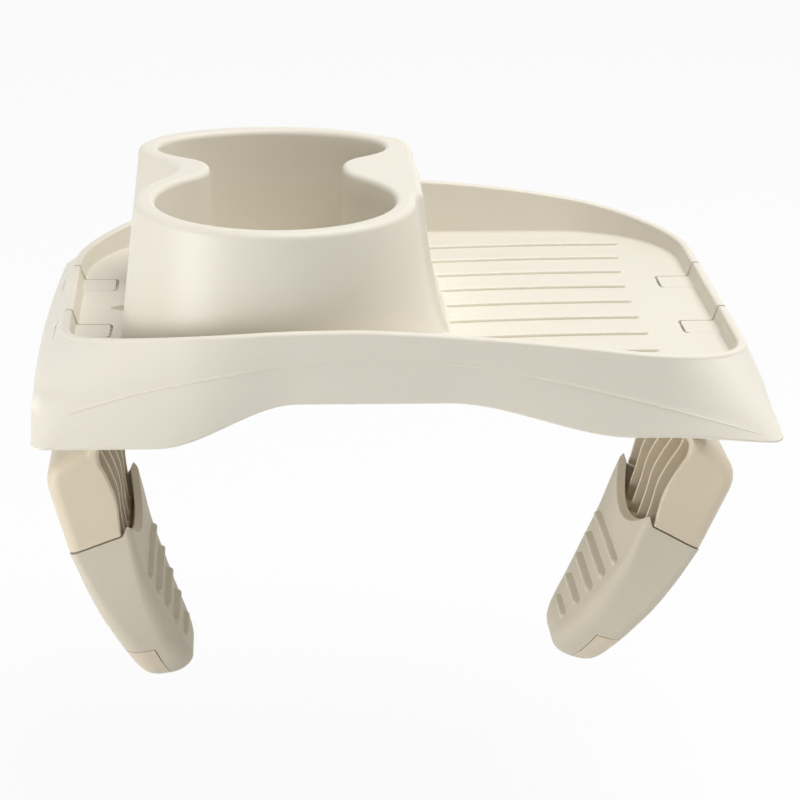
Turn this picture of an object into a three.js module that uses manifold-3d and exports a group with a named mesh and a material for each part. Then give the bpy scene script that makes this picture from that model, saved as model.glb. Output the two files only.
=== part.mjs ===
// Clip-on spa cup holder: a walled tray with a two-lobe drinks well, and two ribbed clamp legs
// with push-on grip boots, each hinged on a hanger that hooks over the tray's side wall.
// Millimetres, +Z up, X across the tray, -Y to the front. The top of the deck is z = 0 while modelling.
import * as THREE from "three";
import Module from "manifold-3d";

const wasm = await Module();
wasm.setup();

// Clearances
const CLEAR = 0.3;            // between separate mouldings
const RUN_CLEAR = 0.08;       // hinge pin in its knuckles and lugs

// Tray plan and wall
const DECK_HALF_X = 113;
const DECK_HALF_Y = 99.5;
const LEFT_CORNER_R = 60;
const RIGHT_CORNER_R = 42;
const DECK_T = 2.2;
const FOOT_R = 0.9;           // fillet between deck and wall
const RIM_SIDE = 5.6;         // wall height at the sides
const FRONT_RISE = 17.1;      // extra wall height at the middle of the front
const REAR_RISE = 15.3;
const FRONT_PEAK_X = -17;
const SWELL = { left: [2.5, 0.6], right: [1.25, 0.64], rear: [1.85, 1.05] };  // how the rim falls from its peak
const CORNER_FALL = 0.25;     // and how it falls further round the corners
const RIM_T = 3.4;
const RIM_R = 1;
const WALL_LEAN = 1.3;
const LEAN_GAIN = 0.05;       // the wall leans out further where it is higher

// Skirt below the deck, with an arch front and rear that sits over the tub wall
const SKIRT_T = 2.6;
const SKIRT_DEPTH = 14.9;
const SKIRT_OUT = { left: 14.8, right: 13.5, ends: 11.5 };
const HEM_CORNER_R = 5;
const HEM_BOW = 4;            // the side hems bow out at the middle
const HEM_R = 0.9;
const ARCH_X = -8.5;
const ARCH_FLAT = { left: 29, right: 20 };
const ARCH_END = { left: 75, right: 82 };
const ARCH_TAIL = 0.16;       // the hem still climbs a little along the right half
const ARCH_DROP = 0.3;        // the arch ends just below the deck
const CREASE = { sideOut: 0.8, endOut: 0.58, down: 0.7, archDown: 0.42 };

// Two-lobe drinks well
const CUP_H = 51.3;
const CUP_INSET = 69.5;       // from the left wall to the middle of the cup
const CUP_X = CUP_INSET - DECK_HALF_X;
const FRONT_LOBE = { y: -41.2, r: 41 };
const REAR_LOBE = { y: 34.2, rx: 41.5, ry: 24.9 };
const NECK = { x: CUP_X + 1.2, y: 3, half: 23.6 };
const LOBE_WALL = 7;
const GROOVE_X = CUP_X - 34.5;  // left outer waist groove
const LAND_X = CUP_X + 51.6;    // right outer side, filled between the lobes
const CUP_DRAFT = 5.6;
const CUP_FLARE = 5.8;        // extra concave flare at the foot of the right side
const CUP_SKIN = 2.4;
const CUP_LIP = 2.2;          // rounding of the cup's top edge
const CUP_WEB = 4;            // half width of the web under the land
const CUP_STEPS = 64;
const LOBE_MELT = 8;          // how softly the lobes run into the neck
const LAND_BOW = 0.0016;      // the land's outer face bows slightly
const FLARE_FADE = { from: 1.4, over: 75 };  // the foot flare dies out towards front and rear
const WELL_FOOT = [[0, -4], [0.7, -2.2], [2.4, -1.2]];  // height and growth at the well's rounded floor edge
const WELL_LIP = { start: 0.6, grow: 2.2 };

// Raised drip ribs on the open half of the deck, and the drain slot left of the cup
const DRIP = { count: 8, pitch: 19.5, rear: 19, right: 27.3, under: 9.4, width: 2.6, height: 0.9, sag: 4.5 };
const DRIP_END = { y: -10, bow: 0.0007 };  // the ribs end on a shallow curve
const DRAIN = { from: 10, length: 11, width: 7, y: -1, point: 4, r: 3 };

// Leg width, and the hanger's hooks over the side wall
const LEG_HALF_Y = 34.2;
const HOOK = { width: 14.6, over: 1.4, reach: 11.7, floor: 0.9, flare: 2.75 };
const HOOK_Y = LEG_HALF_Y + HOOK.over;
const TONGUE_T = DECK_T - HOOK.floor;
const PLATE_T = 2.9;
const PLATE_X = DECK_HALF_X - 2.5;  // inner face of the hanger's plate
const PLATE_TOP = -DECK_T - 2.8;

// Leg hinge: lugs on the hanger, knuckles on the arm, and a pin through both
const PIN_R = 2;
const BARREL_R = 4.6;
const HINGE_X = PLATE_X - BARREL_R - 0.1;
const HINGE_Z = -35;
const LUG_END = 8.2;          // length of the outer lugs
const LUG_MID = 5;            // half length of the middle lug
const PIN_HEAD = { r: 3, t: 1.6 };
const PLATE_STEP = 0.5;       // the plate's inner face steps back beside the lugs
const PLATE_END = 5.6;        // plate below the hinge line, the outward stop for the arm's shoulder
const REST_TURN = 4.1;        // degrees; both legs stand turned the same way
const lugs = [[-LEG_HALF_Y, LUG_END - LEG_HALF_Y], [-LUG_MID, LUG_MID], [LEG_HALF_Y - LUG_END, LEG_HALF_Y]];
const knuckles = [[lugs[0][1] + CLEAR, lugs[1][0] - CLEAR], [lugs[1][1] + CLEAR, lugs[2][0] - CLEAR]];

// Leg arm and boot, in X and Z from the hinge line
const ARM_SKIN = 2.4;
const RIB_T = 1.8;
const RIB_COUNT = 4;
const BOOT_T = 2.6;
const COLLAR = { inner: [-9.5, -39.7], outer: [8.5, -48] };
const HORN_TOP = -35.4;
const HORN_NOTCH = { half: 23, depth: 16.2, r: 9, x: -27.2, z: -33, lean: -0.32, past: 30 };
const BAR = { count: 5, from: [-20.1, -56.7], to: [-34.6, -86.3], height: 1.8, inset: [8.2, 23.9] };
const BAR_EDGE = { top: 0.9, low: 1.4, foot: 2.2, sunk: 0.6, round: 0.6, bevel: 0.5 };
const TONGUE = [[-24.4, -88], [-5.2, -93], [-5.2, -108.2], [-31, -102.2]];  // window in the boot's tip

const cream = new THREE.MeshStandardMaterial({ color: 0xe9e3d3, roughness: 0.5, metalness: 0 });
const tan = new THREE.MeshStandardMaterial({ color: 0xd6c8b3, roughness: 0.55, metalness: 0 });
const greyTan = new THREE.MeshStandardMaterial({ color: 0xcbbfab, roughness: 0.7, metalness: 0 });
const steel = new THREE.MeshStandardMaterial({ color: 0xb9bbbd, roughness: 0.35, metalness: 1 });

// Geometry helpers
const clamp = (v, a, b) => Math.min(b, Math.max(a, v));
const smooth = (t) => { const u = clamp(t, 0, 1); return u * u * (3 - 2 * u); };
const lerp = (a, b, t) => a + (b - a) * t;

function solid(geometry) {
  const pos = geometry.attributes.position;
  const count = geometry.index ? geometry.index.count : pos.count;
  const ids = new Map();
  const verts = [];
  const tris = [];
  for (let i = 0; i < count; i += 3) {
    const tri = [0, 1, 2].map((k) => {
      const v = geometry.index ? geometry.index.getX(i + k) : i + k;
      const p = [pos.getX(v), pos.getY(v), pos.getZ(v)];
      const key = p.map((c) => Math.round(c * 1e4)).join();
      if (!ids.has(key)) { ids.set(key, verts.length / 3); verts.push(...p); }
      return ids.get(key);
    });
    if (tri[0] !== tri[1] && tri[1] !== tri[2] && tri[2] !== tri[0]) tris.push(...tri);
  }
  const mesh = new wasm.Mesh({
    numProp: 3, vertProperties: new Float32Array(verts), triVerts: new Uint32Array(tris),
  });
  mesh.merge();
  return new wasm.Manifold(mesh);
}

function node(name, manifold, material, mirror = false, place = null) {
  const m = manifold.getMesh();
  const verts = new Float32Array((m.vertProperties.length / m.numProp) * 3);
  for (let i = 0; i < verts.length / 3; i++) {
    verts[3 * i] = m.vertProperties[m.numProp * i] * (mirror ? -1 : 1);
    verts[3 * i + 1] = m.vertProperties[m.numProp * i + 1];
    verts[3 * i + 2] = m.vertProperties[m.numProp * i + 2];
  }
  const index = Array.from(m.triVerts);
  if (mirror) for (let i = 0; i < index.length; i += 3) [index[i], index[i + 1]] = [index[i + 1], index[i]];
  const geometry = new THREE.BufferGeometry();
  geometry.setAttribute("position", new THREE.BufferAttribute(verts, 3));
  geometry.setIndex(index);
  if (place) geometry.applyMatrix4(place);
  geometry.computeVertexNormals();
  const mesh = new THREE.Mesh(geometry, material);
  mesh.name = name;
  return mesh;
}

// A closed skin through rings of equal length, each running counter-clockwise seen from the far end
function loft(rings) {
  const n = rings[0].length;
  const verts = rings.flat(2);
  const index = [];
  for (let r = 0; r < rings.length - 1; r++) {
    const a = r * n, b = a + n;
    for (let i = 0; i < n; i++) {
      const j = (i + 1) % n;
      index.push(a + i, a + j, b + j, a + i, b + j, b + i);
    }
  }
  const cap = (ring, base, flip) => {
    const origin = new THREE.Vector3(...ring[0]);
    const normal = new THREE.Vector3();
    const pts = ring.map((p) => new THREE.Vector3(...p));
    pts.forEach((p, i) => normal.add(p.clone().cross(pts[(i + 1) % n])));
    normal.normalize();
    const ux = new THREE.Vector3(1, 0, 0).projectOnPlane(normal);
    if (ux.length() < 0.1) ux.set(0, 1, 0).projectOnPlane(normal);
    ux.normalize();
    const uy = normal.clone().cross(ux);
    const flat = pts.map((p) => {
      const d = p.clone().sub(origin);
      return new THREE.Vector2(d.dot(ux), d.dot(uy));
    });
    for (const t of THREE.ShapeUtils.triangulateShape(flat, [])) {
      index.push(base + t[0], base + t[flip ? 2 : 1], base + t[flip ? 1 : 2]);
    }
  };
  cap(rings[0], 0, true);
  cap(rings[rings.length - 1], (rings.length - 1) * n, false);
  const geometry = new THREE.BufferGeometry();
  geometry.setAttribute("position", new THREE.Float32BufferAttribute(verts, 3));
  geometry.setIndex(index);
  return geometry;
}

// An outline of [x, y, radius] corners, rounded
function rounded(points) {
  const shape = new THREE.Shape();
  const n = points.length;
  points.forEach(([x, y, r = 0], i) => {
    const toward = (p) => {
      const d = new THREE.Vector2(p[0] - x, p[1] - y);
      return d.setLength(Math.min(r, d.length() * 0.49)).add(new THREE.Vector2(x, y));
    };
    const a = toward(points[(i + n - 1) % n]), b = toward(points[(i + 1) % n]);
    if (i === 0) shape.moveTo(a.x, a.y); else shape.lineTo(a.x, a.y);
    if (r > 0) shape.quadraticCurveTo(x, y, b.x, b.y);
  });
  shape.closePath();
  return shape;
}

// An outline in X and Z carried along Y from y0 to y1
function along(points, y0, y1, bevel = 0, curve = 4) {
  const geometry = new THREE.ExtrudeGeometry(rounded(points), {
    depth: y1 - y0 - 2 * bevel, curveSegments: curve, bevelEnabled: bevel > 0, bevelSize: bevel,
    bevelThickness: bevel, bevelOffset: -bevel, bevelSegments: 2, steps: 1,
  });
  return solid(geometry.rotateX(Math.PI / 2).translate(0, y1 - bevel, 0));
}

function upright(points, z0, z1, curve = 6) {
  return solid(new THREE.ExtrudeGeometry(rounded(points), {
    depth: z1 - z0, curveSegments: curve, bevelEnabled: false,
  }).translate(0, 0, z0));
}

// A cylinder on a line along Y
function barrel(r, y0, y1, [x, z] = [0, 0]) {
  return solid(new THREE.CylinderGeometry(r, r, y1 - y0, 16).translate(x, (y0 + y1) / 2, z));
}

function box(x0, x1, y0, y1, z0, z1) {
  return solid(new THREE.BoxGeometry(x1 - x0, y1 - y0, z1 - z0)
    .translate((x0 + x1) / 2, (y0 + y1) / 2, (z0 + z1) / 2));
}

// The deck's outline with its outward normals, its points closest together in the middle of each corner
function deckPlan() {
  const hx = DECK_HALF_X, hy = DECK_HALF_Y, l = LEFT_CORNER_R, r = RIGHT_CORNER_R;
  const pts = [];
  const side = (x0, y0, x1, y1, nx, ny, n) => {
    for (let i = 0; i < n; i++) pts.push({ x: lerp(x0, x1, i / n), y: lerp(y0, y1, i / n), nx, ny });
  };
  const corner = (cx, cy, rad, from, n) => {
    for (let i = 0; i < n; i++) {
      const s = 1 - (2 * i) / n;
      const a = THREE.MathUtils.degToRad(from + 45 * (1 - s * Math.abs(s)));
      pts.push({ x: cx + rad * Math.cos(a), y: cy + rad * Math.sin(a), nx: Math.cos(a), ny: Math.sin(a) });
    }
  };
  side(l - hx, -hy, hx - r, -hy, 0, -1, 18);
  corner(hx - r, r - hy, r, -90, 12);
  side(hx, r - hy, hx, hy - r, 1, 0, 6);
  corner(hx - r, hy - r, r, 0, 12);
  side(hx - r, hy, l - hx, hy, 0, 1, 18);
  corner(l - hx, hy - l, l, 90, 14);
  side(-hx, hy - l, -hx, l - hy, -1, 0, 4);
  corner(l - hx, l - hy, l, 180, 14);
  return pts;
}

function rimHeight(p) {
  const front = p.ny < 0;
  const peak = front ? FRONT_PEAK_X : 0;
  const reach = DECK_HALF_X + (p.x > peak ? -peak : peak);
  const t = clamp(Math.abs(p.x - peak) / reach, 0, 1);
  const [a, b] = front ? (p.x > peak ? SWELL.right : SWELL.left) : SWELL.rear;
  const swell = (1 - t ** a) ** b * Math.abs(p.ny) ** CORNER_FALL;
  return RIM_SIDE + (front ? FRONT_RISE : REAR_RISE) * swell;
}

const hemRight = DECK_HALF_X + SKIRT_OUT.right;
const hemLeft = DECK_HALF_X + SKIRT_OUT.left;
const hemY = DECK_HALF_Y + SKIRT_OUT.ends;

// How far the hem is drawn up into the arch
function archShare(x) {
  const right = x > ARCH_X;
  const flat = right ? ARCH_FLAT.right : ARCH_FLAT.left, end = right ? ARCH_END.right : ARCH_END.left;
  const arch = smooth((end - Math.abs(x - ARCH_X)) / (end - flat));
  const tail = right ? ARCH_TAIL * smooth((hemRight - x) / (hemRight - end)) : 0;
  return arch + (1 - arch) * tail;
}

// The hem before it is drawn up: a rectangle with bowed sides, met along the wall's normal at p
function hemPoint(p, inset) {
  const midX = (hemRight - hemLeft) / 2, halfX = (hemRight + hemLeft) / 2;
  const outside = (x, y) => {
    const straight = x / (1 - (HEM_BOW / hemLeft) * (y / hemY) ** 2);
    const dx = Math.abs(straight - midX) - halfX + HEM_CORNER_R, dy = Math.abs(y) - hemY + HEM_CORNER_R;
    return Math.hypot(Math.max(dx, 0), Math.max(dy, 0)) + Math.min(Math.max(dx, dy), 0) - HEM_CORNER_R;
  };
  let lo = 0, hi = hemLeft;
  for (let k = 0; k < 40; k++) {
    const m = (lo + hi) / 2;
    if (outside(p.x + p.nx * m, p.y + p.ny * m) < -inset) lo = m; else hi = m;
  }
  return { x: p.x + p.nx * lo, y: p.y + p.ny * lo };
}

// Tray shell: deck, wall, rim and skirt as one profile carried round, its heights changing on the way
function trayShell() {
  const deck = deckPlan();
  const shares = deck.map((p) => archShare(hemPoint(p, 0).x));
  const lean = (p) => WALL_LEAN + LEAN_GAIN * (rimHeight(p) - RIM_SIDE);
  const outer = (p) => lean(p) + RIM_T;
  const ring = (offset, height) => deck.map((p) =>
    [p.x + p.nx * offset(p), p.y + p.ny * offset(p), height(p)]);
  const hemRing = (inset, up) => deck.map((p, i) => {
    const q = hemPoint(p, inset);
    const drawn = DECK_HALF_Y + Math.max(RIM_T + HEM_R - inset, SKIRT_T);
    const y = Math.sign(q.y) * lerp(Math.abs(q.y), drawn, shares[i]);
    return [q.x, y, lerp(-SKIRT_DEPTH, -DECK_T - ARCH_DROP, shares[i]) + up];
  });
  const rimEdge = ring(outer, (p) => rimHeight(p) - RIM_R);
  const edge = hemRing(0, HEM_R);
  const crease = edge.map((q, i) => {
    const down = lerp(CREASE.down, CREASE.archDown, shares[i]);
    const out = lerp(CREASE.sideOut, CREASE.endOut, deck[i].ny ** 2);
    const [x, y, z] = rimEdge[i];
    return [lerp(x, q[0], out), lerp(y, q[1], out), lerp(z, q[2], down)];
  });
  return solid(loft([
    ring(() => SKIRT_T, () => -DECK_T),
    hemRing(SKIRT_T, 0),
    hemRing(HEM_R, 0),
    edge,
    crease,
    rimEdge,
    ring((p) => outer(p) - RIM_R, rimHeight),
    ring((p) => lean(p) + RIM_R, rimHeight),
    ring(lean, (p) => rimHeight(p) - RIM_R),
    ring(() => 0, () => FOOT_R),
    ring(() => -FOOT_R, () => 0),
  ]));
}

// Two-lobe outlines, read as distance from a point inside the neck along each direction
function lobes(p, front, rear, left, right) {
  const melt = (a, b, k) => {
    const h = clamp(0.5 + (0.5 * (b - a)) / k, 0, 1);
    return lerp(b, a, h) - k * h * (1 - h);
  };
  const circle = Math.hypot(p.x - CUP_X, p.y - FRONT_LOBE.y) - front;
  const e = Math.hypot((p.x - CUP_X) / rear[0], (p.y - REAR_LOBE.y) / rear[1]);
  const oval = (e - 1) * Math.min(rear[0], rear[1]);
  const mid = (left + right) / 2, half = (right - left) / 2;
  const bow = LAND_BOW * (p.y + NECK.y) ** 2;
  const bar = Math.max(Math.abs(p.x - mid) - half + (p.x > mid ? bow : 0), Math.abs(p.y) - REAR_LOBE.y);
  return melt(melt(circle, bar, LOBE_MELT), oval, LOBE_MELT);
}

function cupOutline(front, rear, left, right) {
  const out = [];
  for (let i = 0; i < CUP_STEPS; i++) {
    const a = (2 * Math.PI * i) / CUP_STEPS;
    const d = { x: Math.cos(a), y: Math.sin(a) };
    let lo = 2, hi = 2 * DECK_HALF_Y;
    for (let k = 0; k < 30; k++) {
      const m = (lo + hi) / 2;
      const at = { x: NECK.x + d.x * m, y: NECK.y + d.y * m };
      if (lobes(at, front, rear, left, right) < 0) lo = m; else hi = m;
    }
    out.push({ x: NECK.x + d.x * lo, y: NECK.y + d.y * lo });
  }
  return out.map((p, i) => {
    const q = out[(i + CUP_STEPS - 1) % CUP_STEPS], s = out[(i + 1) % CUP_STEPS];
    const len = Math.hypot(s.x - q.x, s.y - q.y);
    return { ...p, nx: (s.y - q.y) / len, ny: (q.x - s.x) / len };
  });
}

const wellLine = cupOutline(
  FRONT_LOBE.r, [REAR_LOBE.rx, REAR_LOBE.ry], NECK.x - NECK.half, NECK.x + NECK.half);
const cupLine = cupOutline(
  FRONT_LOBE.r + LOBE_WALL, [REAR_LOBE.rx + LOBE_WALL, REAR_LOBE.ry + LOBE_WALL], GROOVE_X, LAND_X);
const cupRing = (line, offset, z) => line.map((p) => [p.x + p.nx * offset(p), p.y + p.ny * offset(p), z]);

function cupSkirt(p, z) {
  const t = clamp(1 - z / CUP_H, 0, 1);
  const fade = smooth(FLARE_FADE.from - Math.abs(p.y) / FLARE_FADE.over);
  const right = smooth((p.x - CUP_X) / (LAND_X - CUP_X)) * fade;
  return CUP_DRAFT * t + CUP_FLARE * right * t ** 3;
}

function cupBody() {
  const at = (z, inset = 0) => cupRing(cupLine, (p) => cupSkirt(p, z) - inset, z);
  return solid(loft([
    at(-DECK_T / 2), at(0), at(CUP_H * 0.1), at(CUP_H * 0.25), at(CUP_H * 0.5), at(CUP_H - CUP_LIP),
    at(CUP_H - CUP_LIP * 0.3, CUP_LIP * 0.3), at(CUP_H, CUP_LIP),
  ]));
}

function well() {
  const at = (z, grow) => cupRing(wellLine, () => grow, z);
  return solid(loft([
    ...WELL_FOOT.map(([z, grow]) => at(z, grow)), at(CUP_H - CUP_LIP * 0.8, 0),
    at(CUP_H - CUP_LIP * 0.2, WELL_LIP.start), at(CUP_H + 0.05, WELL_LIP.grow),
    at(CUP_H + CUP_LIP, WELL_LIP.grow),
  ]));
}

// Space between the two skins of the cup, open underneath, with a web left on the land side
function cupCore() {
  const outside = solid(loft([-DECK_T - 3, 0, CUP_H * 0.25, CUP_H - CUP_LIP].map((z) =>
    cupRing(cupLine, (p) => cupSkirt(p, z) - CUP_SKIN, z))));
  const inside = solid(loft([-DECK_T - 4, 0, CUP_H - 2, CUP_H].map((z) =>
    cupRing(wellLine, () => CUP_SKIN - (z > 0 ? 0 : 1.2), z))));
  const web = box(NECK.x, LAND_X + CUP_H, -CUP_WEB, CUP_WEB, -DECK_T - 5, CUP_H);
  return outside.subtract(inside).subtract(web);
}

function dripRibs() {
  const ribs = [];
  const x0 = LAND_X + DRIP.under;
  const half = DRIP.width / 2;
  const steps = 6;
  for (let i = 0; i < DRIP.count; i++) {
    const y = DECK_HALF_Y - DRIP.rear - DRIP.pitch * i;
    const x1 = DECK_HALF_X - DRIP.right + DRIP_END.bow * (y - DRIP_END.y) ** 2;
    const shape = new THREE.Shape();
    const line = (x, side) => y - DRIP.sag * ((x1 - x) / (x1 - x0)) ** 2 + side;
    for (let k = 0; k <= steps; k++) {
      const x = lerp(x0, x1, k / steps);
      if (k === 0) shape.moveTo(x, line(x, -half)); else shape.lineTo(x, line(x, -half));
    }
    shape.quadraticCurveTo(x1 + DRIP.width, y, x1, y + half);
    for (let k = steps; k >= 0; k--) {
      const x = lerp(x0, x1, k / steps);
      shape.lineTo(x, line(x, half));
    }
    const bevel = DRIP.width / 5;
    ribs.push(solid(new THREE.ExtrudeGeometry(shape, {
      depth: DRIP.height, bevelEnabled: true, bevelSize: bevel, bevelOffset: -bevel,
      bevelThickness: bevel, bevelSegments: 1, curveSegments: 3,
    }).translate(0, 0, -bevel)));
  }
  return ribs;
}

const sides = [[HOOK_Y - HOOK.width, HOOK_Y], [-HOOK_Y, HOOK.width - HOOK_Y]];

function trayBody() {
  let tray = trayShell().add(cupBody());
  for (const rib of dripRibs()) tray = tray.add(rib);
  tray = tray.subtract(well()).subtract(cupCore());
  const tip = DRAIN.from - DECK_HALF_X, end = tip + DRAIN.length, wide = DRAIN.width / 2;
  tray = tray.subtract(upright([
    [tip, DRAIN.y, 2], [tip + DRAIN.point, DRAIN.y + wide, DRAIN.r], [end, DRAIN.y + wide],
    [end, DRAIN.y - wide], [tip + DRAIN.point, DRAIN.y - wide, DRAIN.r],
  ], -SKIRT_DEPTH, FOOT_R));
  const seatX = DECK_HALF_X - HOOK.reach - CLEAR, outX = hemRight + SKIRT_OUT.left, high = 2 * RIM_SIDE;
  for (const side of [1, -1]) {
    for (const [y0, y1] of sides) {
      const cut = (x0, x1, z0, z1) => along(
        [[x0, z1], [x0, z0], [x1, z0], [x1, z1]].map(([x, z]) => [x * side, z]), y0 - CLEAR, y1 + CLEAR);
      tray = tray.subtract(cut(seatX, outX, -TONGUE_T, high))
        .subtract(cut(PLATE_X - CLEAR, PLATE_X + PLATE_T + CLEAR, -SKIRT_DEPTH, 0));
    }
  }
  return tray;
}

// Hanger: two hooks, the plate under the tray that joins them, and three lugs on the hinge line
function hanger() {
  const x0 = PLATE_X, x1 = PLATE_X + PLATE_T;
  const hinge = [HINGE_X, HINGE_Z];
  const end = HINGE_Z - PLATE_END;
  let part = along([
    [x0, PLATE_TOP], [x1, PLATE_TOP], [x1, end, 0.6], [x0 + PLATE_STEP, end, 0.6],
    [x0 + PLATE_STEP, HINGE_Z + PIN_R], [x0, HINGE_Z + BARREL_R],
  ], -HOOK_Y, HOOK_Y);
  const rimX = DECK_HALF_X + WALL_LEAN, tip = DECK_HALF_X - HOOK.reach, under = CLEAR - TONGUE_T;
  const outX = rimX + RIM_T;
  for (const [y0, y1] of sides) {
    const hook = along([
      [tip, 0, 0.3], [DECK_HALF_X - 0.2, 0, 0.8], [rimX, RIM_SIDE - 0.2, 0.7],
      [outX - 0.1, RIM_SIDE - 0.2, 1.2], [outX + HOOK.flare, under + 0.4, 0.4],
      [outX + HOOK.flare - 0.2, under, 0.2], [tip, under, 0.2],
    ], y0, y1);
    part = part.add(hook).add(box(x0, x1, y0, y1, PLATE_TOP - 1, under + 0.3));
  }
  for (const [y0, y1] of lugs) {
    const arm = along([
      [HINGE_X - 1, HINGE_Z + BARREL_R - 0.1], [x0 + 1, HINGE_Z + 9], [x0 + 1, HINGE_Z - 4.2],
      [HINGE_X, HINGE_Z - BARREL_R + 0.05],
    ], y0, y1);
    part = part.add(barrel(BARREL_R, y0, y1, hinge)).add(arm);
  }
  return part.subtract(barrel(PIN_R + RUN_CLEAR, -2 * LEG_HALF_Y, 2 * LEG_HALF_Y, hinge));
}

function hingePin() {
  const end = LEG_HALF_Y + CLEAR;
  return barrel(PIN_R, -end, end).add(barrel(PIN_HEAD.r, -end - PIN_HEAD.t, -end));
}

// Boot sections from the collar to the tip: [inner x, z], [outer x, z], drawn in at each side, corner radius
const sections = [
  [[-11.8, -31.4], [13.2, -41.8], 0, 3],
  [[-12.9, -34.9], [10.2, -44.6], 0, 3],
  [[-15.8, -43.6], [7, -50.8], 0, 3.4],
  [[-20.1, -56.7], [2, -62], 1.2, 4.4],
  [[-25.8, -69], [-4.2, -75], 4.2, 6],
  [[-31.3, -80], [-9.8, -85.4], 8.2, 7.5],
  [[-35.2, -87], [-13.2, -91.6], 11.6, 8],
  [[-37.8, -92], [-15.8, -96.4], 14.8, 8.5],
  [[-38.6, -96.4], [-18.5, -100.6], 18.2, 8],
  [[-36.6, -100.6], [-21.6, -103.8], 22.6, 6],
  [[-32.6, -103.8], [-25.4, -105.4], 28.2, 3],
];

function sectionRing([inner, outer, drawn, radius], inset, perCorner) {
  const mid = [(inner[0] + outer[0]) / 2, (inner[1] + outer[1]) / 2];
  const thick = Math.hypot(outer[0] - inner[0], outer[1] - inner[1]) / 2;
  const ux = (outer[0] - inner[0]) / (2 * thick), uz = (outer[1] - inner[1]) / (2 * thick);
  const a = Math.max(CLEAR, thick - inset), b = Math.max(CLEAR, LEG_HALF_Y - drawn - inset);
  const r = Math.min(Math.max(CLEAR, radius - inset), a * 0.95, b * 0.95);
  const ring = [];
  [[1, 1, 0], [-1, 1, 90], [-1, -1, 180], [1, -1, 270]].forEach(([su, sv, from]) => {
    for (let i = 0; i < perCorner; i++) {
      const t = THREE.MathUtils.degToRad(from + (90 * i) / (perCorner - 1));
      const u = su * (a - r) + r * Math.cos(t), v = sv * (b - r) + r * Math.sin(t);
      ring.push([mid[0] + ux * u, v, mid[1] + uz * u]);
    }
  });
  return ring;
}

// The leg's envelope, drawn in by inset, from section first to the one before the last drop sections
function legLoft(inset, first = 0, drop = 0, perCorner = 4) {
  const rows = sections.slice(first, sections.length - drop).reverse();
  return solid(loft(rows.map((s) => sectionRing(s, inset, perCorner))));
}

// Everything above the collar seam, apart from the strip where the boot's two horns stand
function aboveCollar() {
  const [ox, oz] = COLLAR.outer, [ix, iz] = COLLAR.inner;
  const seam = (x) => iz + ((oz - iz) / (ox - ix)) * (x - ix) - CLEAR;
  const x0 = ix - 3 * CLEAR, x1 = ox + BOOT_T + LEG_HALF_Y;
  return along([[x0, seam(x0)], [x1, seam(x1)], [x1, 0], [x0, 0]], -2 * LEG_HALF_Y, 2 * LEG_HALF_Y);
}

function boot() {
  let part = legLoft(0);
  for (let i = 0; i < BAR.count; i++) {
    const t = i / (BAR.count - 1);
    const x = lerp(BAR.from[0], BAR.to[0], t), z = lerp(BAR.from[1], BAR.to[1], t);
    const half = LEG_HALF_Y - lerp(BAR.inset[0], BAR.inset[1], t), root = x + BOOT_T - BAR_EDGE.sunk;
    part = part.add(along([
      [x - BAR.height, z + BAR_EDGE.top, BAR_EDGE.round], [root, z + BAR_EDGE.foot],
      [root, z - BAR_EDGE.foot], [x - BAR.height + CLEAR, z - BAR_EDGE.low, BAR_EDGE.round],
    ], -half, half, BAR_EDGE.bevel, 2));
  }
  const notch = solid(new THREE.ExtrudeGeometry(rounded([
    [-HORN_NOTCH.half, HORN_NOTCH.past], [-HORN_NOTCH.half, -HORN_NOTCH.depth, HORN_NOTCH.r],
    [HORN_NOTCH.half, -HORN_NOTCH.depth, HORN_NOTCH.r], [HORN_NOTCH.half, HORN_NOTCH.past],
  ]), { depth: HORN_NOTCH.past, bevelEnabled: false, curveSegments: 5 })
    .rotateX(Math.PI / 2).rotateZ(Math.PI / 2).rotateY(HORN_NOTCH.lean)
    .translate(HORN_NOTCH.x, 0, HORN_NOTCH.z));
  const wide = 2 * LEG_HALF_Y;
  return part.subtract(aboveCollar()).subtract(legLoft(BOOT_T, 0, 1, 3)).subtract(notch)
    .subtract(along(TONGUE, -wide, wide)).subtract(box(-wide, wide, -wide, wide, HORN_TOP, 0));
}

// Arm: shoulder, ribbed upper half open to the inside, the core that fills the boot, and its tongue
const SHOULDER = [[-0.6, -4.4], [7.6, -8.3, 2], [16.4, -15.8, 2.4], [18.8, -21.2, 2.8]];
const S_EDGE = [[-8.8, -36.5, 3], [-7.8, -27, 4], [-4, -18.5, 4], [-0.2, -12, 3]];
const POCKET = [
  [-0.8, -7.9, 1], [6.8, -11.6, 1], [14.2, -17.8, 2], [15.8, -22, 2], [6.1, -47, 2], [-3.2, -51.5, 3],
  [-25.2, -45], [-25.2, -9],
];
const KNUCKLE_NECK = [[-3.6, -2.6], [4.3, -1.6], [4, -6.6], [4.4, -9.4], [-1.2, -9.6], [-2.4, -6]];
const INWARD_STOP = [[-1.6, 0], [2.4, 0], [2.4, 10.4, 0.8], [-1, 10.4, 0.8]];  // meets the hanger's plate

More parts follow.
